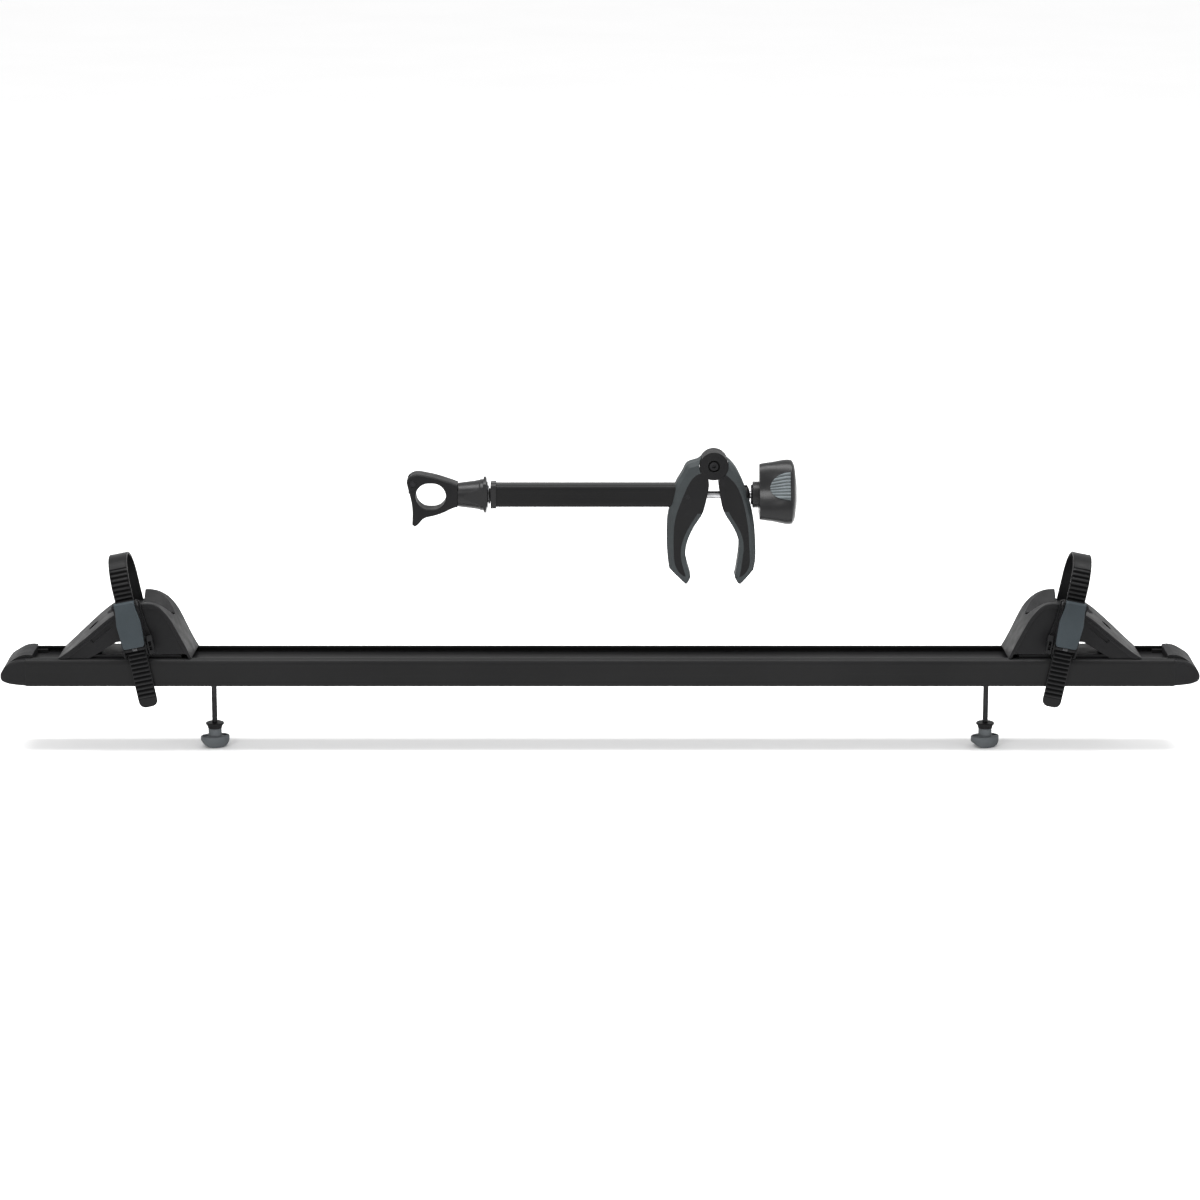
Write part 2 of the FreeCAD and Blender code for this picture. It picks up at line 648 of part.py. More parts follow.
def hook_ring():
    body = ring_blank().cut(gate_zone(0.3).cut(gate_turn(BOSS_R)))
    body = body.cut(box(GATE_X - 15, -20, GATE_Z - 15, GATE_X, 20, GATE_Z).cut(gate_turn(BOSS_R)))
    body = body.cut(rod(GATE_X, -4.4, GATE_Z, AXIS_Y, 8.2, 8.8))
    body = body.cut(box(GATE_X - 6.5, -4.4, 204, GATE_X + 4.0, 4.4, GATE_Z))
    shank = rod(-152, 0, ARM_Z, AXIS_X, SHANK_R, 57)
    groove = tube(-99.2, 0, ARM_Z, AXIS_X, SHANK_R + 1, SHANK_R - 1.4, 1.8)
    root = Part.makeCone(10, SHANK_R, 3, V(-151, 0, ARM_Z), AXIS_X)
    body = fuse([body, shank, root]).cut(groove)
    body = body.cut(rod(GATE_X, -20, GATE_Z, AXIS_Y, 3.0, 40))
    return body.cut(rod(GATE_X, -HOOK_HALF_T - 1, GATE_Z, AXIS_Y, 3.9, 2.6))


def hook_gate():
    body = ring_blank().common(gate_zone(0)).cut(gate_turn(BOSS_R + 0.3))
    lug = rod(GATE_X, -4.1, GATE_Z, AXIS_Y, 6.2, 8.2)
    neck = box(GATE_X - 4.8, -4.1, 204, GATE_X + 3.4, 4.1, GATE_Z)
    gate = fuse([body, lug, neck])
    return gate.cut(rod(GATE_X, -20, GATE_Z, AXIS_Y, 3.0 + FIT, 40))


def gate_pin():
    pin = rod(GATE_X, -HOOK_HALF_T + 0.6, GATE_Z, AXIS_Y, 2.97, 2 * HOOK_HALF_T - 1.2)
    head = rod(GATE_X, -HOOK_HALF_T + 0.4, GATE_Z, AXIS_Y, 3.6, 1.0)
    return fuse([pin, head])


def lock_collar():
    profile = [(-150.4, 12.7), (-140, 14.0), (-130, 15.4), (-128, 15.8)]
    outline = [V(x, 0, ARM_Z + r) for x, r in profile]
    flange = [
        (-128, 15.8), (-126.4, 16.6), (-123.6, 16.6), (-123.2, 19.3),
        (-120.4, 19.3), (-119.6, 14.1), (-119, 14.1),
    ]
    rim = [V(x, 0, ARM_Z + r) for x, r in flange]
    bore = [V(-119, 0, ARM_Z + SHANK_R + GAP), V(-150.4, 0, ARM_Z + SHANK_R + GAP)]
    edges = [spline(outline)]
    points = rim + bore + [outline[0]]
    edges += [Part.makeLine(a, b) for a, b in zip(points, points[1:])]
    body = Part.Face(Part.Wire(edges)).revolve(V(0, 0, ARM_Z), AXIS_X, 360)
    flats = box(-160, -13.5, ARM_Z - 30, -100, 13.5, ARM_Z + 30)
    body = body.common(flats)
    body = body.cut(tube(-136, 0, ARM_Z, AXIS_X, SHANK_R + 3.4, SHANK_R, 18))
    return body.cut(Part.makeCone(10.4, SHANK_R, 3.4, V(-151.2, 0, ARM_Z), AXIS_X))


def collar_spring():
    return tube(-135.6, 0, ARM_Z, AXIS_X, SHANK_R + 3.0, SHANK_R + 0.8, 19.6)


def end_bush():
    flange_block = box(-115.8, -TUBE_D / 2 - 1, ARM_Z - 14, TUBE_X0, TUBE_D / 2 + 1, ARM_Z + 14)
    flange_block = rounded(flange_block, 6.5, lambda e: along(e, AXIS_X))
    inner_h = TUBE_H / 2 - TUBE_T - 0.1
    inner_d = TUBE_D / 2 - TUBE_T - 0.1
    plug = box(TUBE_X0 - 1, -inner_d, ARM_Z - inner_h, TUBE_X0 + 22, inner_d, ARM_Z + inner_h)
    plug = rounded(plug, 4.0, lambda e: along(e, AXIS_X))
    bush = fuse([flange_block, plug]).cut(rod(-120, 0, ARM_Z, AXIS_X, SHANK_R + FIT, 40))
    bush = bush.cut(rod(-99.6, 0, ARM_Z, AXIS_X, SHANK_R + 1.5, 20))
    return bush.cut(rod(TUBE_X0 + 5, 0, ARM_Z - 20, AXIS_Z, 1.95, 40))


def swivel_clip():
    ring = tube(-98.9, 0, ARM_Z, AXIS_X, SHANK_R + 1.3, SHANK_R - 1.35, 1.2)
    return ring.cut(box(-102, -2, ARM_Z - 12, -95, 2, ARM_Z - 4))


# ---- arm tube ----
def arm_tube():
    def bar(inset_by):
        half_d = TUBE_D / 2 - inset_by
        half_h = TUBE_H / 2 - inset_by
        block = box(TUBE_X0, -half_d, ARM_Z - half_h, TUBE_X1, half_d, ARM_Z + half_h)
        return rounded(block, 5.5 - inset_by, lambda e: along(e, AXIS_X))

    shell = bar(0).cut(bar(TUBE_T))
    shell = shell.cut(rod(TUBE_X0 + 5, 0, ARM_Z - 20, AXIS_Z, 1.95, 40))
    return shell.cut(rod(RIVET_X, -20, ARM_Z, AXIS_Y, 2.45, 40))


def arm_rivets():
    upright = rod(TUBE_X0 + 5, 0, ARM_Z - TUBE_H / 2, AXIS_Z, 1.9, 5)
    top = rod(TUBE_X0 + 5, 0, ARM_Z + TUBE_H / 2 - 5, AXIS_Z, 1.9, 5)
    cross = []
    for y in (-JAW_HALF_T + 0.2, JAW_HALF_T - 7.2):
        cross.append(rod(RIVET_X, y, ARM_Z, AXIS_Y, 2.4, 7))
    return Part.makeCompound([upright, top] + cross)


# ---- jaws ----
LEFT_OUTER = [
    (107, 243), (102.9, 240), (91.8, 235.6), (87.5, 228), (81.6, 218), (75.7, 198), (71.8, 180),
    (70.9, 160), (71.4, 140), (73.6, 124.3),
]
LEFT_TIP = [(73.6, 124.3), (90.7, 107.8)]
LEFT_END = [(90.7, 107.8), (92.6, 108.2)]
LEFT_INNER = [
    (96.2, 115), (93.9, 123.2), (91.6, 132.1), (90.7, 140.5), (91.7, 150.8), (94.6, 159.6),
    (101.3, 172.8), (108.3, 184), (111.4, 194), (114.4, 208), (115.2, 216), (114, 222),
]
RIGHT_OUTER = [
    (132, 243), (137.5, 238.5), (143, 232), (148, 223), (152.8, 212), (157.4, 199), (161.4, 184),
    (163.8, 168), (164.9, 150), (164.8, 133), (162.7, 122.1),
]
RIGHT_TIP = [(162.7, 122.1), (149.4, 107.8)]
RIGHT_END = [(149.4, 107.8), (146.6, 108.2)]
RIGHT_INNER = [
    (143, 115), (144.6, 123), (146, 133), (147.2, 143), (147, 153), (144.6, 162),
    (137.6, 175), (131.2, 186), (128.2, 196), (126.2, 208), (125.2, 216), (126.4, 222),
]
# The jaws' black core: its outer edge on each side, from the knuckle down to the tip.
LEFT_CORE = [
    (110, 228), (100, 224), (93.4, 215), (86.6, 199), (80.4, 181), (78.0, 161), (78.2, 141), (80.2, 127), (89, 116),
]
RIGHT_CORE = [
    (130, 228), (136, 223.4), (143, 216), (149.4, 203), (154.4, 183), (157.4, 163), (158.4, 145), (158.2, 127),
    (151, 116),
]
PAD_T = 5.0


def core_zone(core, side):
    """Everything inward of the core's outer edge; the rest of the jaw is its soft rim."""
    middle_x = PIVOT_X - side * 22
    last = core[-1]
    return curved_prism_y(
        [
            core,
            [last, (last[0] - side * 8, last[1] - 2)],
            [(last[0] - side * 8, last[1] - 2), (middle_x, 105)],
            [(middle_x, 105), (middle_x, 255)],
            [(middle_x, 255), (core[0][0], 255)],
            [(core[0][0], 255), core[0]],
        ],
        -JAW_HALF_T - 1,
        JAW_HALF_T + 1,
    )


def jaw_blank(outer, tip, end, inner):
    half = JAW_HALF_T
    blank = curved_prism_y(
        [
            outer,
            tip,
            end,
            [end[-1], inner[0]],
            inner,
            [inner[-1], outer[0]],
        ],
        -half,
        half,
    )
    return blank


def bevelled(blank, outer):
    """Bevel the jaw's outer edge on both faces."""
    xs = [p[0] for p in outer[3:]]
    side = 1 if sum(xs) / len(xs) > PIVOT_X else -1

    def on_outer(e):
        far = abs(abs(middle(e).y) - JAW_HALF_T) < 0.01
        return far and (middle(e).x - PIVOT_X) * side > 34 and e.Length > 60

    chosen = [e for e in blank.Edges if on_outer(e)]
    try:
        return blank.makeChamfer(4.0, chosen)
    except Exception:
        return blank


def pad_zone(inner, side):
    """The strip along the jaw's inner side that its rubber pad takes up."""
    before = [(x - side * 3, z) for x, z in inner[:8]]
    behind = [(x + side * PAD_T, z) for x, z in inner[:8]]
    return curved_prism_y(
        [before, [before[-1], behind[-1]], behind[::-1], [behind[0], before[0]]], -JAW_HALF_T, JAW_HALF_T
    )


def fixed_jaw_pad():
    blank = jaw_blank(LEFT_OUTER, LEFT_TIP, LEFT_END, LEFT_INNER)
    return blank.common(pad_zone(LEFT_INNER, -1))


def moving_jaw_pad():
    blank = jaw_blank(RIGHT_OUTER, RIGHT_TIP, RIGHT_END, RIGHT_INNER)
    return blank.common(pad_zone(RIGHT_INNER, 1))


def knuckle(y0, y1, radius):
    return rod(PIVOT_X, y0, PIVOT_Z, AXIS_Y, radius, y1 - y0)


def pivot_bore(radius):
    return rod(PIVOT_X, -30, PIVOT_Z, AXIS_Y, radius, 60)


def tube_socket():
    half_d = TUBE_D / 2 + 0.05
    half_h = TUBE_H / 2 + 0.05
    block = box(60, -half_d, ARM_Z - half_h, TUBE_X1 + 0.2, half_d, ARM_Z + half_h)
    return rounded(block, 5.5, lambda e: along(e, AXIS_X))


def fixed_jaw_rim():
    rim = bevelled(jaw_blank(LEFT_OUTER, LEFT_TIP, LEFT_END, LEFT_INNER), LEFT_OUTER)
    rim = rim.cut(pad_zone(LEFT_INNER, -1)).cut(core_zone(LEFT_CORE, -1))
    rim = rim.cut(pivot_clearance(KNUCKLE_R + 0.6))
    return largest(rim.cut(tube_socket()))


def moving_jaw_rim():
    rim = bevelled(jaw_blank(RIGHT_OUTER, RIGHT_TIP, RIGHT_END, RIGHT_INNER), RIGHT_OUTER)
    rim = rim.cut(pad_zone(RIGHT_INNER, 1)).cut(core_zone(RIGHT_CORE, 1))
    rim = rim.cut(pivot_clearance(KNUCKLE_R + 0.4)).cut(thrust_boss()).cut(rod_slot())
    return largest(rim)


def largest(shape):
    return max(shape.Solids, key=lambda solid: solid.Volume)


def pivot_clearance(radius):
    return knuckle(-JAW_HALF_T - 1, JAW_HALF_T + 1, radius)


def fixed_jaw():
    jaw = bevelled(jaw_blank(LEFT_OUTER, LEFT_TIP, LEFT_END, LEFT_INNER), LEFT_OUTER)
    jaw = largest(jaw.cut(pad_zone(LEFT_INNER, -1)).common(core_zone(LEFT_CORE, -1)))
    jaw = jaw.cut(knuckle(-TONGUE_HALF - 0.4, TONGUE_HALF + 0.4, KNUCKLE_R + 0.6))
    for y0, y1 in ((-JAW_HALF_T, -TONGUE_HALF - 0.4), (TONGUE_HALF + 0.4, JAW_HALF_T)):
        jaw = fuse([jaw, knuckle(y0, y1, KNUCKLE_R)])
    jaw = jaw.cut(tube_socket())
    jaw = jaw.cut(rod(TUBE_X1, 0, ARM_Z, AXIS_X, ROD_R + 0.02, 40))
    jaw = jaw.cut(rod(RIVET_X, -20, ARM_Z, AXIS_Y, 2.45, 40))
    jaw = jaw.cut(pivot_bore(4.0))
    return jaw.cut(rod(PIVOT_X, -JAW_HALF_T - 1, PIVOT_Z, AXIS_Y, 6.4, 4.6)).cut(
        rod(PIVOT_X, JAW_HALF_T - 3.6, PIVOT_Z, AXIS_Y, 6.6, 6)
    )


def thrust_boss():
    """The domed boss that the knob's washer presses on."""
    face = KNOB_X - 1.9
    boss = rod(142, 0, ARM_Z, AXIS_X, 10.5, face - 142)
    return boss.common(Part.makeSphere(16, V(face - 16, 0, ARM_Z)))


def rod_slot():
    """The rod's hole in the moving jaw, tall enough for the jaw to lean as it closes."""
    low = ARM_Z - 4.6
    return prism_y([(118, low), (166, low), (166, ARM_Z + 14), (118, ARM_Z + 5.6)], -4.6, 4.6)


def moving_jaw():
    jaw = bevelled(jaw_blank(RIGHT_OUTER, RIGHT_TIP, RIGHT_END, RIGHT_INNER), RIGHT_OUTER)
    jaw = largest(jaw.cut(pad_zone(RIGHT_INNER, 1)).common(core_zone(RIGHT_CORE, 1)))
    jaw = fuse([jaw, thrust_boss()])
    for sign in (-1, 1):
        y0, y1 = sorted((sign * (TONGUE_HALF + 0.1), sign * (JAW_HALF_T + 1)))
        jaw = jaw.cut(knuckle(y0, y1, KNUCKLE_R + 0.4))
    jaw = fuse([jaw, knuckle(-TONGUE_HALF, TONGUE_HALF, KNUCKLE_R)])
    jaw = jaw.cut(rod_slot()).cut(pivot_bore(4.0 + FIT))
    ring = tube(PIVOT_X, -2.2, PIVOT_Z, AXIS_Y, 8.6, 4.0, 4.4)
    return jaw.cut(ring)


def jaw_spring():
    return tube(PIVOT_X, -2.0, PIVOT_Z, AXIS_Y, 8.2, 4.6, 4.0)


def pivot_bolt():
    shank = rod(PIVOT_X, -JAW_HALF_T + 3, PIVOT_Z, AXIS_Y, 3.98, 2 * JAW_HALF_T - 4)
    head = rod(PIVOT_X, -JAW_HALF_T + 0.4, PIVOT_Z, AXIS_Y, 4.9, 3.2)
    head = rounded(head, 0.8, lambda e: middle(e).y < -JAW_HALF_T + 0.5)
    bolt = fuse([shank, head])
    corners = [
        V(PIVOT_X + 2.3 * math.cos(math.radians(a)), -JAW_HALF_T, PIVOT_Z + 2.3 * math.sin(math.radians(a)))
        for a in range(30, 390, 60)
    ]
    return bolt.cut(polygon(corners).extrude(V(0, 2.8, 0)))


def pivot_nut():
    corners = [
        V(PIVOT_X + 6.3 * math.cos(math.radians(a)), JAW_HALF_T - 3.5, PIVOT_Z + 6.3 * math.sin(math.radians(a)))
        for a in range(0, 360, 60)
    ]
    return polygon(corners).extrude(V(0, 3.4, 0)).cut(pivot_bore(3.98))


# ---- rod and clamp knob ----
def threaded_rod():
    stem = rod(96.4, 0, ARM_Z, AXIS_X, ROD_R, 95)
    return stem.makeChamfer(0.8, [e for e in stem.Edges if isinstance(e.Curve, Part.Circle)])


def thrust_washer():
    return tube(KNOB_X - 1.6, 0, ARM_Z, AXIS_X, 10.5, ROD_R + 0.3, 1.4)


def lobed_section(x, lobe, flat):
    """A rounded three-lobed outline at one station, one lobe pointing up."""
    points = []
    count = 18
    for i in range(count):
        a = 2 * math.pi * i / count
        r = (lobe + flat) / 2 + (lobe - flat) / 2 * math.cos(3 * a)
        points.append(V(x, r * math.sin(a), ARM_Z + r * math.cos(a)))
    curve = Part.BSplineCurve()
    curve.interpolate(Points=points, PeriodicFlag=True)
    return Part.Wire(curve.toShape())


def clamp_knob():
    neck = rod(KNOB_X, 0, ARM_Z, AXIS_X, 14, 8)
    neck = rounded(neck, 1.0, lambda e: middle(e).x < KNOB_X + 0.1)
    stations = [(168.6, 33.0, 21.0), (176, 34.5, 21.5), (186, 36.0, 24.0), (196, 37.6, 27.5), (202.5, 37.0, 28.0)]
    body = Part.makeLoft([lobed_section(*s) for s in stations], True, False)
    end = [(202.5, 37.0, 28.0), (204.2, 34.6, 26.4), (206.4, 27.0, 21.5), (KNOB_FACE, 15.0, 12.5)]
    dome = Part.makeLoft([lobed_section(*s) for s in end], True, False)
    knob = fuse([neck, body, dome])
    knob = knob.cut(rod(KNOB_X - 1, 0, ARM_Z, AXIS_X, ROD_R + 0.4, 41))
    knob = knob.cut(rod(KNOB_X + 4, 0, ARM_Z, AXIS_X, 6.4, 14))
    for grip in grip_solids(0.0):
        knob = knob.cut(grip)
    return knob


def grip_solids(shrink):
    """The three half-oval inlays on the knob's flats."""
    rim = GRIP_RIM - shrink
    reach = GRIP_REACH - shrink
    half = GRIP_HALF - shrink
    angles = [math.radians(a) for a in (-90, -65, -35, 0, 35, 65, 90)]
    oval = [V(rim - reach * math.cos(a), half * math.sin(a), 20) for a in angles]
    face = Part.Face(Part.Wire([spline(oval), Part.makeLine(oval[-1], oval[0])]))
    grips = []
    for turn in (60, 180, 300):
        pad = face.extrude(V(0, 0, 11.5))
        pad.rotate(ORIGIN, AXIS_X, turn)
        pad.translate(V(0, 0, ARM_Z))
        grips.append(pad)
    return grips


def knob_grips():
    grips = []
    for turn, pad in zip((60, 180, 300), grip_solids(0.1)):
        stations = [(176, 35.1, 22.1), (186, 36.6, 24.6), (196, 38.2, 28.1), (202.5, 37.6, 28.6)]
        skin = Part.makeLoft([lobed_section(*s) for s in stations], True, False)
        grips.append(pad.common(skin).Solids[0])
    return Part.makeCompound(grips)


def knob_nut():
    corners = [
        V(KNOB_X + 4.2, 6.3 * math.cos(math.radians(a)), ARM_Z + 6.3 * math.sin(math.radians(a)))
        for a in range(0, 360, 60)
    ]
    return polygon(corners).extrude(V(12, 0, 0)).cut(rod(KNOB_X, 0, ARM_Z, AXIS_X, ROD_R + FIT, 30))


# ---- write every piece ----
save("rail", rail())
save("end_cap_right", end_cap())
save("end_cap_left", mirrored(end_cap()))
for side, x in (("left", -BOLT_X), ("right", BOLT_X)):
    save("t_bolt_" + side, t_bolt(x))
    save("cup_washer_" + side, cup_washer(x))
    save("wing_knob_" + side, wing_knob(x))
    save("knob_insert_" + side, knob_insert(x))
save_pair("wheel_holder", wheel_holder())
save_pair("clamp_plate", clamp_plate())
save_pair("clamp_screws", clamp_screws())
for name, maker in (
    ("strap", strap),
    ("strap_anchor_pin", strap_anchor_pin),
    ("buckle_frame", buckle_frame),
    ("frame_rivet", frame_rivet),
    ("buckle_pin", buckle_pins),
    ("buckle_lever", buckle_lever),
    ("drive_pawl", drive_pawl),
    ("drive_spring", drive_spring),
    ("release_pawl", release_pawl),
    ("pawl_spring", pawl_spring),
):
    save_pair(name, leaned(maker()))
for name, maker in (
    ("hook_ring", hook_ring),
    ("hook_gate", hook_gate),
    ("gate_pin", gate_pin),
    ("lock_collar", lock_collar),
    ("collar_spring", collar_spring),
    ("end_bush", end_bush),
    ("swivel_clip", swivel_clip),
    ("arm_tube", arm_tube),
    ("arm_rivets", arm_rivets),
    ("fixed_jaw", fixed_jaw),
    ("moving_jaw", moving_jaw),
    ("fixed_jaw_rim", fixed_jaw_rim),
    ("moving_jaw_rim", moving_jaw_rim),
    ("fixed_jaw_pad", fixed_jaw_pad),
    ("moving_jaw_pad", moving_jaw_pad),
    ("jaw_spring", jaw_spring),
    ("pivot_bolt", pivot_bolt),
    ("pivot_nut", pivot_nut),
    ("threaded_rod", threaded_rod),
    ("thrust_washer", thrust_washer),
    ("clamp_knob", clamp_knob),
    ("knob_grips", knob_grips),
    ("knob_nut", knob_nut),
):
    save(name, maker())
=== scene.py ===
import json
import math

import bmesh
import bpy
from mathutils import Matrix, Vector


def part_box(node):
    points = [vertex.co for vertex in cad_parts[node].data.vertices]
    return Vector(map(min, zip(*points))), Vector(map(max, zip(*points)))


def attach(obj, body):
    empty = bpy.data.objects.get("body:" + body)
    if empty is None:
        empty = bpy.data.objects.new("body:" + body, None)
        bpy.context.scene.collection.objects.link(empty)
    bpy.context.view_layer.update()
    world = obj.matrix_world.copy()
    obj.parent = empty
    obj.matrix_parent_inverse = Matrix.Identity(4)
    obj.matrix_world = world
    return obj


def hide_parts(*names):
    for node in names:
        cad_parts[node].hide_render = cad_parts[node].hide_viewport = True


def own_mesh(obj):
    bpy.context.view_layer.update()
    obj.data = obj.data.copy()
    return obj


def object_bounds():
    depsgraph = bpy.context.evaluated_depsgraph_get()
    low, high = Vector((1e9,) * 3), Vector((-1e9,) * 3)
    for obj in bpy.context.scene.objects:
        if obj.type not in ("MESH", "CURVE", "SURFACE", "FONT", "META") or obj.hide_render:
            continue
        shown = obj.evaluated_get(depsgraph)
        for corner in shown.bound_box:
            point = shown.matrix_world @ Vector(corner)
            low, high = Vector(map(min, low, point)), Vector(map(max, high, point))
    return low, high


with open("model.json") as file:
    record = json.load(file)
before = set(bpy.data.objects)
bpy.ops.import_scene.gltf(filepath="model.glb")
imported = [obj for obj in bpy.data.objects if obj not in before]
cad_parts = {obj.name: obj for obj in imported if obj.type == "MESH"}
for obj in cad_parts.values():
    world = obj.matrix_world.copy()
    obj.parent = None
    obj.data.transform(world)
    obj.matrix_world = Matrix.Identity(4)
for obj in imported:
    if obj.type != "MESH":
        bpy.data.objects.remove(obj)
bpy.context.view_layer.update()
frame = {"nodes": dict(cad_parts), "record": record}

NODES = frame["nodes"]
SIDES = ("left", "right")

# ---- camera, in metres: the point it looks at, its distance and its height angle ----
LOOK_AT = Vector((0.0, 0.0, 0.087))
CAMERA_DISTANCE = 4.2
CAMERA_ELEVATION = math.radians(13.7)
CAMERA_LENS = 118.1
FLOOR_GAP = 0.0006
FLOOR_HALF = 30.0

# ---- places on the object, in metres, as in the CAD ----
ARM_Z = 0.202
STRAP_PLACE = Vector((-0.498, 0.0, 0.070))
STRAP_LEAN = math.radians(-11.5)
LOOP_Y, LOOP_Z, LOOP_R = -0.005, 0.038, 0.031
TAIL_END, BACK_END = -0.093, -0.014
STRAP_HALF, STRAP_HALF_T = 0.010, 0.001
RIB_H, RIB_PITCH, RIB_COUNT, TAIL_PLAIN = 0.0012, 0.0048, 30, 0.012
DRIVE_PIN = (0.0, -0.0416, 0.010)
RELEASE_PIN = (0.0, -0.041, -0.027)

# ---- detail of the pieces made here, in metres ----
TAIL_CORNER = 0.0065
STRAP_STEP = 0.0004        # length of strap between one ring of points and the next
STRAP_COLUMNS = 20         # points across the strap
BORDER_COLUMNS = 3         # of those, how many at each edge have no rib
EDGE_SOFT = 0.0007
RIB_EDGE = (0.0013, 0.0021)
BEAD_RISE = 0.00025        # the raised bead along each edge
PLAIN_CREST = 0.75         # how far the strap's painted groove shade darkens it where it has no ribs; 1 would be no painted shade
FINE_WIRE = 0.0003
COLLAR_WIRE = 0.0008
COIL_STEPS = 24            # points round one turn of a spring
WIRE_SIDES = 10


# ---- shader helpers ----
class Shader:
    """A node material under construction: a Principled shader and a few helpers."""

    def __init__(self, name):
        self.material = bpy.data.materials.new(name)
        self.material.use_nodes = True
        self.tree = self.material.node_tree
        self.bsdf = self.tree.nodes["Principled BSDF"]
        self.place = self.add("ShaderNodeTexCoord").outputs["Object"]

    def add(self, kind, **values):
        node = self.tree.nodes.new(kind)
        for key, value in values.items():
            if key in node.inputs:
                node.inputs[key].default_value = value
            else:
                setattr(node, key, value)
        return node

    def link(self, a, b):
        self.tree.links.new(a, b)

    def stretched(self, scale):
        mapping = self.add("ShaderNodeMapping")
        mapping.inputs["Scale"].default_value = scale
        self.link(self.place, mapping.inputs["Vector"])
        return mapping.outputs["Vector"]

    def noise(self, scale, detail=3.0, vector=None):
        node = self.add("ShaderNodeTexNoise", Scale=scale, Detail=detail)
        self.link(vector or self.place, node.inputs["Vector"])
        return node.outputs["Fac"]

    def cells(self, scale):
        node = self.add("ShaderNodeTexVoronoi", Scale=scale)
        self.link(self.place, node.inputs["Vector"])
        return node.outputs["Distance"]

    def spread(self, source, low, high, out_low, out_high):
        node = self.add("ShaderNodeMapRange")
        for key, value in (("From Min", low), ("From Max", high), ("To Min", out_low), ("To Max", out_high)):
            node.inputs[key].default_value = value
        self.link(source, node.inputs["Value"])
        return node.outputs["Result"]

    def mix(self, factor, a, b):
        node = self.add("ShaderNodeMix", data_type="RGBA")
        for socket, colour in (("A", a), ("B", b)):
            if isinstance(colour, tuple):
                node.inputs[socket].default_value = (*colour, 1.0)
            else:
                self.link(colour, node.inputs[socket])
        self.link(factor, node.inputs["Factor"])
        return node.outputs["Result"]

    def math(self, operation, *values):
        node = self.add("ShaderNodeMath", operation=operation)
        for socket, value in zip(node.inputs, values):
            if isinstance(value, (int, float)):
                socket.default_value = value
            else:
                self.link(value, socket)
        return node.outputs["Value"]

    def around_arm(self, count):
        """A wave with this many crests once round the arm's own axis."""
        parts = self.add("ShaderNodeSeparateXYZ")
        self.link(self.place, parts.inputs["Vector"])
        height = self.math("SUBTRACT", parts.outputs["Z"], ARM_Z)
        turn = self.math("ARCTAN2", parts.outputs["Y"], height)
        return self.math("COSINE", self.math("MULTIPLY", turn, count))

    def edges(self, width):
        """A mask that is 1 on the piece's sharp outer edges, where some finishes paint a highlight, and the
        rounded normal behind it.
        """
        soft = self.add("ShaderNodeBevel", Radius=width)
        flat = self.add("ShaderNodeNewGeometry")
        dot = self.add("ShaderNodeVectorMath", operation="DOT_PRODUCT")
        self.link(soft.outputs["Normal"], dot.inputs[0])
        self.link(flat.outputs["Normal"], dot.inputs[1])
        return self.spread(dot.outputs["Value"], 0.98, 0.75, 0.0, 1.0), soft.outputs["Normal"]

    def bumps(self, heights, normal=None):
        """Several height fields, each (socket, strength, distance), one on another."""
        for height, strength, distance in heights:
            node = self.add("ShaderNodeBump", Strength=strength, Distance=distance)
            self.link(height, node.inputs["Height"])
            if normal is not None:
                self.link(normal, node.inputs["Normal"])
            normal = node.outputs["Normal"]
        self.link(normal, self.bsdf.inputs["Normal"])

    def set(self, **values):
        for key, value in values.items():
            self.bsdf.inputs[key.replace("_", " ")].default_value = value


def tint(colour, factor):
    return tuple(min(1.0, c * factor) for c in colour)


def moulded_plastic(name, colour, roughness, worn=1.7, edge=2.6, coat=0.0, shine=0.09, grooved=False):
    """Injection-moulded plastic: spark-eroded grain, faint flow marks and rubbed high spots, with a painted
    highlight along sharp edges and, on grooved pieces, painted shade in the grooves.
    """
    grain_depth = 0.00004
    s = Shader(name)
    flow = s.noise(14.0, 4.0)
    rub = s.noise(90.0, 6.0)
    body = s.mix(s.spread(flow, 0.35, 0.7, 0.0, 1.0), tint(colour, 0.85), tint(colour, 1.15))
    rubbed = s.mix(s.spread(rub, 0.6, 0.78, 0.0, 0.5), body, tint(colour, worn))
    # Painted highlight with some edge wear: the sharp outer edges are painted lighter, the edge factor times
    # the colour.
    edge_highlight_mask, edge_normal = s.edges(0.0007)
    skin = s.mix(edge_highlight_mask, rubbed, tint(colour, edge))
    if grooved:
        # Painted shade: the strap is painted darker down into the grooves between its ribs, and loses its
        # reflection there, following how far up a rib each point is.
        crest_shading = s.add("ShaderNodeAttribute", attribute_name="crest_shading").outputs["Fac"]
        skin = s.mix(crest_shading, tint(colour, 0.25), skin)
        s.link(s.spread(crest_shading, 0.0, 1.0, 0.0, 0.12), s.bsdf.inputs["Specular IOR Level"])
    s.link(skin, s.bsdf.inputs["Base Color"])
    s.link(s.spread(rub, 0.3, 0.7, roughness - 0.06, roughness + 0.07), s.bsdf.inputs["Roughness"])
    grain = (s.cells(2600.0), 0.35, grain_depth)
    s.bumps([grain, (s.noise(500.0, 2.0), 0.15, grain_depth * 2)], edge_normal)
    s.set(Coat_Weight=coat, Coat_Roughness=0.25)
    if not grooved:
        s.set(Specular_IOR_Level=shine)
    return s.material


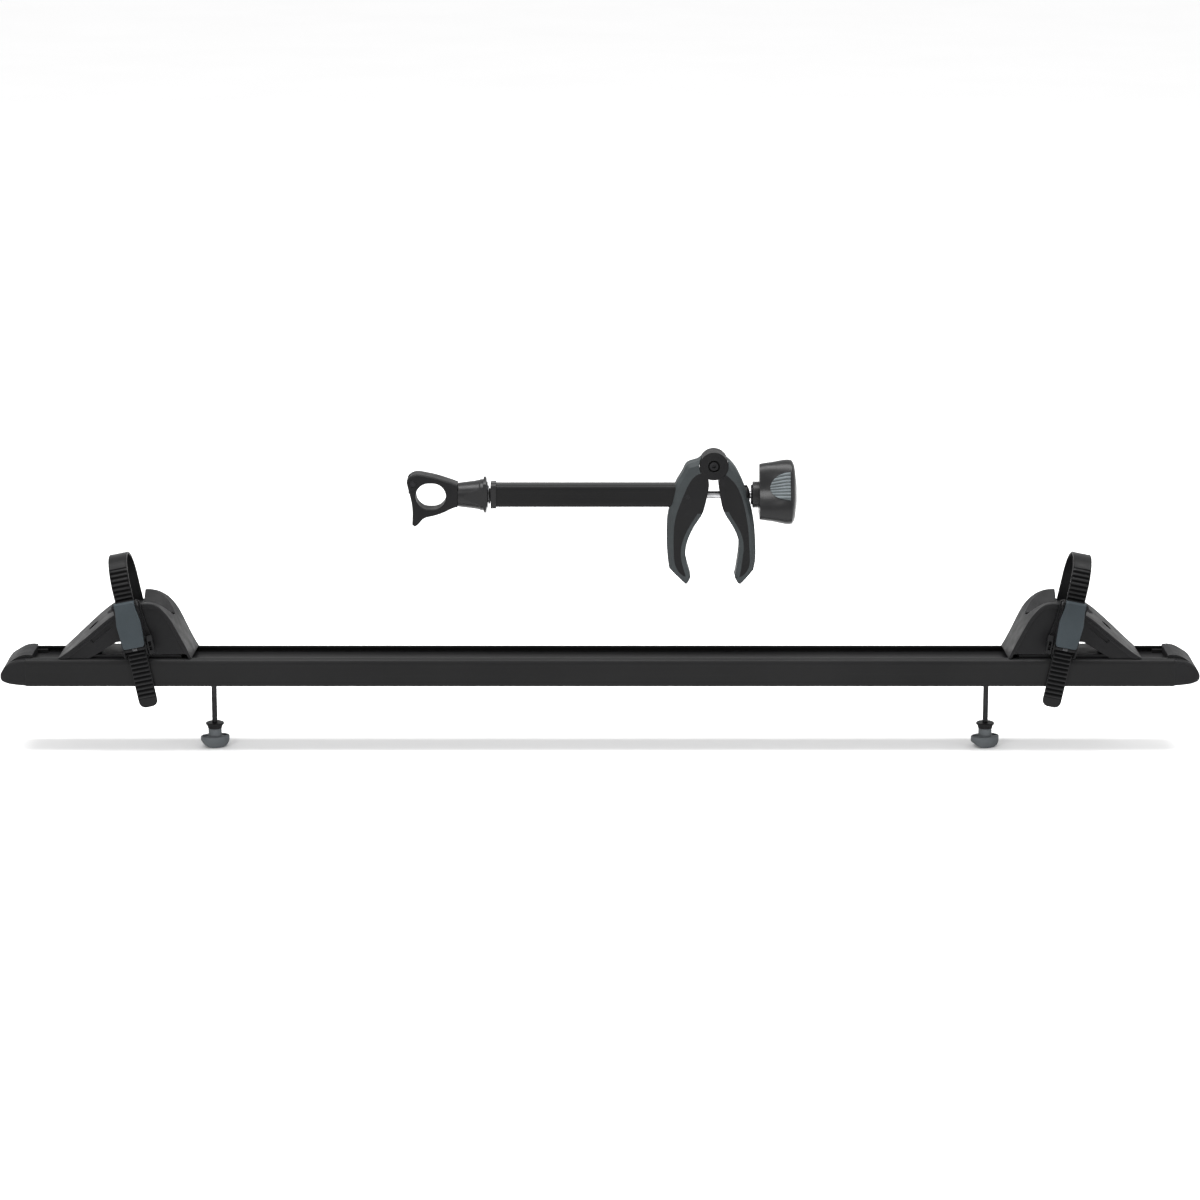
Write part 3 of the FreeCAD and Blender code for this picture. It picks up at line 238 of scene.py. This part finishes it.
def anodised(name, colour, roughness):
    """Black anodised or painted extrusion: die lines along its length, fine speckle, and a painted highlight
    along its sharp edges.
    """
    s = Shader(name)
    lines = s.noise(1.0, 3.0, s.stretched((6.0, 900.0, 900.0)))
    speckle = s.noise(1500.0, 2.0)
    cloud = s.noise(7.0, 3.0)
    body = s.mix(s.spread(cloud, 0.3, 0.7, 0.0, 1.0), tint(colour, 0.85), tint(colour, 1.2))
    # Painted highlight with some edge wear: the sharp edges are painted lighter, twice the colour.
    edge_highlight_mask, edge_normal = s.edges(0.0009)
    lined = s.mix(s.spread(lines, 0.55, 0.75, 0.0, 0.5), body, tint(colour, 1.6))
    s.link(s.mix(edge_highlight_mask, lined, tint(colour, 2.0)), s.bsdf.inputs["Base Color"])
    s.link(s.spread(lines, 0.3, 0.7, roughness - 0.05, roughness + 0.08), s.bsdf.inputs["Roughness"])
    s.bumps([(lines, 0.12, 0.00005), (speckle, 0.2, 0.00003)], edge_normal)
    s.set(Specular_IOR_Level=0.1)
    return s.material


def rubber(name, colour, roughness=0.62, ribs=0):
    """Soft overmoulded rubber, matt with a dusty bloom; ribs is how many ridges go once round the arm."""
    s = Shader(name)
    bloom = s.noise(60.0, 6.0)
    body = s.mix(s.spread(bloom, 0.4, 0.75, 0.0, 0.8), tint(colour, 0.9), tint(colour, 1.25))
    heights = [(s.noise(1800.0, 3.0), 0.3, 0.00004)]
    if ribs:
        wave = s.around_arm(ribs)
        # Painted shade: the troughs between the ribs are painted dark, on top of their bump.
        body = s.mix(s.spread(wave, -0.95, -0.35, 1.0, 0.0), body, tint(colour, 0.3))
        heights.append((wave, 0.8, 0.0006))
    s.link(body, s.bsdf.inputs["Base Color"])
    s.link(s.spread(bloom, 0.3, 0.7, roughness - 0.05, roughness + 0.1), s.bsdf.inputs["Roughness"])
    edge_normal = s.edges(0.0008)[1]
    s.bumps(heights, edge_normal)
    s.set(Specular_IOR_Level=0.2)
    return s.material


def metal(name, colour, roughness):
    """Plated or turned metal with fine machining marks and dull patches."""
    s = Shader(name)
    marks = s.noise(1.0, 4.0, s.stretched((40.0, 700.0, 700.0)))
    patches = s.noise(180.0, 5.0)
    s.link(
        s.mix(s.spread(patches, 0.35, 0.7, 0.0, 1.0), tint(colour, 0.75), tint(colour, 1.1)),
        s.bsdf.inputs["Base Color"],
    )
    s.link(s.spread(marks, 0.3, 0.7, roughness - 0.08, roughness + 0.12), s.bsdf.inputs["Roughness"])
    s.bumps([(marks, 0.2, 0.00003)], s.edges(0.0004)[1])
    s.set(Metallic=1.0)
    return s.material


MATERIALS = {
    "rail_black": anodised("rail_black", (0.0068, 0.0068, 0.007), 0.42),
    "tube_black": anodised("tube_black", (0.0058, 0.0058, 0.006), 0.4),
    "cap_plastic": moulded_plastic("cap_plastic", (0.008, 0.008, 0.0084), 0.5),
    # holder_plastic's large edge factor paints a bright highlight along its edges.
    "holder_plastic": moulded_plastic("holder_plastic", (0.0076, 0.0076, 0.0081), 0.42, edge=4.2),
    "strap_plastic": moulded_plastic("strap_plastic", (0.0085, 0.0085, 0.0089), 0.36, worn=2.0, grooved=True),
    "frame_plastic": moulded_plastic("frame_plastic", (0.006, 0.006, 0.0064), 0.42),
    "lever_grey": moulded_plastic("lever_grey", (0.029, 0.036, 0.0405), 0.5, worn=1.2, edge=1.3),
    "knob_grey": moulded_plastic("knob_grey", (0.082, 0.089, 0.094), 0.5, worn=1.3, edge=1.4),
    "jaw_plastic": moulded_plastic("jaw_plastic", (0.008, 0.008, 0.0084), 0.45),
    "pad_rubber": rubber("pad_rubber", (0.026, 0.0305, 0.032)),
    "grip_rubber": rubber("grip_rubber", (0.088, 0.102, 0.108), 0.5, ribs=52),
    "knob_plastic": moulded_plastic("knob_plastic", (0.0068, 0.0068, 0.0072), 0.34, coat=0.06, shine=0.18),
    "black_steel": metal("black_steel", (0.022, 0.022, 0.023), 0.42),
    "bright_steel": metal("bright_steel", (0.36, 0.36, 0.37), 0.3),
    "brass": metal("brass", (0.62, 0.45, 0.2), 0.32),
}
SPRING_STEEL = metal("spring_steel", (0.13, 0.13, 0.135), 0.35)


def dress_frame():
    """Every CAD node gets the finish of its slot, and springs their own darker steel."""
    for entry in frame["record"]["subparts"]:
        node = NODES[entry["node"]]
        material = SPRING_STEEL if "spring" in entry["node"] else MATERIALS[entry["material_slot"]]
        for slot in node.material_slots:
            slot.material = material


# ---- pieces made here ----
def strap_frame(side):
    """The leaning strap's own frame on one side, as a matrix."""
    frame_matrix = Matrix.Translation(STRAP_PLACE) @ Matrix.Rotation(STRAP_LEAN, 4, "Y")
    return frame_matrix if side == "left" else Matrix.Scale(-1, 4, Vector((1, 0, 0))) @ frame_matrix


def new_piece(name, mesh, body, nodes, slot_name, material=None):
    """Put a finished mesh in the scene in place of its CAD nodes."""
    mesh.materials.append(material or MATERIALS[slot_name])
    for polygon in mesh.polygons:
        polygon.use_smooth = True
    piece = bpy.data.objects.new(name, mesh)
    bpy.context.scene.collection.objects.link(piece)
    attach(piece, body)
    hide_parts(*nodes)
    return piece


def closed_mesh(name, rings, matrix):
    """A skin over rings of points, each joined to the next, with its two ends capped."""
    bm = bmesh.new()
    rows = [[bm.verts.new(point) for point in ring] for ring in rings]
    count = len(rows[0])
    for a, b in zip(rows, rows[1:]):
        for i in range(count):
            bm.faces.new((a[i], a[(i + 1) % count], b[(i + 1) % count], b[i]))
    bm.faces.new(rows[0])
    bm.faces.new(rows[-1])
    bm.transform(matrix)
    bmesh.ops.recalc_face_normals(bm, faces=bm.faces)
    mesh = bpy.data.meshes.new(name)
    bm.to_mesh(mesh)
    bm.free()
    return mesh


def strap_path(way):
    """Centre point (y, z) and outward direction at a place along the strap, unrolled from its tail."""
    turn = (way - LOOP_Z) / LOOP_R
    if turn < 0:
        return (LOOP_Y - LOOP_R, way), (-1.0, 0.0)
    if turn < math.pi:
        out = (-math.cos(turn), math.sin(turn))
        return (LOOP_Y + LOOP_R * out[0], LOOP_Z + LOOP_R * out[1]), out
    return (LOOP_Y + LOOP_R, LOOP_Z - (turn - math.pi) * LOOP_R), (1.0, 0.0)


def smooth_step(low, high, value):
    t = min(1.0, max(0.0, (value - low) / (high - low)))
    return t * t * (3 - 2 * t)


def rib_number(way):
    """Which rib is here, counted from the tail, or None on the plain stretches."""
    number = (way - TAIL_END - TAIL_PLAIN) / RIB_PITCH + 0.5
    return number if 0 <= number < RIB_COUNT else None


def rib_height(way):
    """One rib in each pitch: a sloping back and a steep front, which the pawl catches on."""
    number = rib_number(way)
    if number is None:
        return 0.0
    phase = number % 1.0
    return RIB_H * smooth_step(0.16, 0.26, phase) * (1 - smooth_step(0.45, 0.84, phase))


def strap_ring(way):
    """The strap's cross-section here: its outer side, then back along its inner side."""
    half = STRAP_HALF
    if way < TAIL_END + TAIL_CORNER:
        left = way - TAIL_END
        half -= TAIL_CORNER - math.sqrt(max(0.0, TAIL_CORNER ** 2 - (TAIL_CORNER - left) ** 2)) * 0.98
    (y, z), (oy, oz) = strap_path(way)
    outer, inner = [], []
    for i in range(STRAP_COLUMNS + 1):
        x = half * math.sin(math.pi * (i / STRAP_COLUMNS - 0.5))
        from_edge = half - abs(x)
        soft = 1 - smooth_step(0.0, EDGE_SOFT, from_edge)
        bead = smooth_step(0.0, 0.0004, from_edge) * (1 - smooth_step(0.0009, RIB_EDGE[0], from_edge))
        fall = STRAP_HALF_T * (1 - 0.45 * soft)
        rise = fall + rib_height(way) * smooth_step(*RIB_EDGE, from_edge) + BEAD_RISE * bead
        outer.append((x, y + oy * rise, z + oz * rise))
        inner.append((x, y - oy * fall, z - oz * fall))
    return outer + inner[::-1]


def mark_crests(mesh, ways):
    """Note on each point how far up a rib it is, for the strap's material to paint shade into its grooves and
    onto its plain stretches.
    """
    crest_shading = mesh.attributes.new("crest_shading", "FLOAT", "POINT")
    across = STRAP_COLUMNS + 1
    for i, way in enumerate(ways):
        level = PLAIN_CREST if rib_number(way) is None else rib_height(way) / RIB_H
        ribbed = 0.1 + 0.9 * level
        for k in range(2 * across):
            on_ribs = BORDER_COLUMNS <= k < across - BORDER_COLUMNS
            crest_shading.data[i * 2 * across + k].value = ribbed if on_ribs else PLAIN_CREST


def make_strap(side):
    last = LOOP_Z + math.pi * LOOP_R + LOOP_Z - BACK_END
    ways = [TAIL_END + 0.00002, TAIL_END + 0.0003, TAIL_END + 0.0008]
    while ways[-1] < last - STRAP_STEP:
        ways.append(ways[-1] + STRAP_STEP)
    mesh = closed_mesh("strap", [strap_ring(way) for way in ways], strap_frame(side))
    mark_crests(mesh, ways)
    new_piece("strap_web_" + side, mesh, "holder_" + side, ["strap_" + side], "strap_plastic")


def coil_mesh(name, radius, wire, length, turns, matrix):
    """A coil spring along X about the matrix's origin, with its end turns closer together."""
    along_x = Vector((1, 0, 0))
    rings = []
    for i in range(COIL_STEPS * turns + 1):
        share = i / (COIL_STEPS * turns)
        along = length * (smooth_step(0.0, 1.0, share) * 0.25 + share * 0.75 - 0.5)
        angle = 2 * math.pi * turns * share
        out = Vector((0, math.cos(angle), math.sin(angle)))
        centre = along_x * along + out * radius
        around = [2 * math.pi * k / WIRE_SIDES for k in range(WIRE_SIDES)]
        rings.append([centre + wire * (out * math.cos(a) + along_x * math.sin(a)) for a in around])
    return closed_mesh(name, rings, matrix)


def new_coil(name, mesh, body, node):
    return new_piece(name, mesh, body, [node], "bright_steel", SPRING_STEEL)


def make_springs():
    for side in SIDES:
        place = strap_frame(side)
        mesh = coil_mesh("drive_spring", 0.0019, FINE_WIRE, 0.0040, 5, place @ Matrix.Translation(DRIVE_PIN))
        new_coil("drive_coil_" + side, mesh, "lever_" + side, "drive_spring_" + side)
        mesh = coil_mesh("pawl_spring", 0.0023, FINE_WIRE, 0.0048, 6, place @ Matrix.Translation(RELEASE_PIN))
        new_coil("pawl_coil_" + side, mesh, "release_" + side, "pawl_spring_" + side)
    low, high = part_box("collar_spring")
    middle = (low + high) / 2
    long = high.x - low.x
    radius = (high.z - low.z) / 2 - COLLAR_WIRE
    place = Matrix.Translation(middle)
    mesh = coil_mesh("collar_spring", radius, COLLAR_WIRE, long - 2 * COLLAR_WIRE, 7, place)
    coil = new_coil("collar_coil", mesh, "hook", "collar_spring")
    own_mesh(coil)


# ---- stage ----
def make_floor():
    mesh = bpy.data.meshes.new("floor")
    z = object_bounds()[0][2] - FLOOR_GAP
    corners = [(-1, -1), (1, -1), (1, 1), (-1, 1)]
    mesh.from_pydata([(x * FLOOR_HALF, y * FLOOR_HALF, z) for x, y in corners], [], [(0, 1, 2, 3)])
    floor = bpy.data.objects.new("floor", mesh)
    bpy.context.scene.collection.objects.link(floor)
    s = Shader("floor")
    s.link(s.mix(s.noise(3.0, 2.0), (0.9, 0.9, 0.9), (0.93, 0.93, 0.93)), s.bsdf.inputs["Base Color"])
    s.set(Roughness=0.9)
    mesh.materials.append(s.material)


def area_light(name, place, target, size, power):
    data = bpy.data.lights.new(name, "AREA")
    data.shape = "RECTANGLE"
    data.size, data.size_y = size
    data.energy = power
    light = bpy.data.objects.new(name, data)
    light.location = place
    light.rotation_euler = (Vector(target) - Vector(place)).to_track_quat("-Z", "Y").to_euler()
    bpy.context.scene.collection.objects.link(light)


def make_lights():
    world = bpy.data.worlds.new("studio")
    world.use_nodes = True
    background = world.node_tree.nodes["Background"]
    background.inputs["Color"].default_value = (1.0, 1.0, 1.0, 1.0)
    background.inputs["Strength"].default_value = 1.05
    bpy.context.scene.world = world
    area_light("overhead", (0.0, -0.2, 2.4), (0.0, 0.0, 0.0), (3.0, 1.0), 110.0)
    area_light("front_left", (-1.8, -2.6, 2.2), (0.0, 0.0, 0.1), (1.0, 0.8), 22.0)
    area_light("right", (2.6, -0.8, 1.6), (0.2, 0.0, 0.1), (1.0, 1.0), 12.0)


def make_camera():
    data = bpy.data.cameras.new("camera")
    data.lens = CAMERA_LENS
    data.sensor_width = 36.0
    camera = bpy.data.objects.new("camera", data)
    back = Vector((0.0, -math.cos(CAMERA_ELEVATION), math.sin(CAMERA_ELEVATION)))
    camera.location = LOOK_AT + back * CAMERA_DISTANCE
    camera.rotation_euler = (-back).to_track_quat("-Z", "Y").to_euler()
    bpy.context.scene.collection.objects.link(camera)
    bpy.context.scene.camera = camera


dress_frame()
for strap_side in SIDES:
    make_strap(strap_side)
make_springs()
make_floor()
make_lights()
make_camera()
bpy.context.scene.view_settings.view_transform = "Standard"
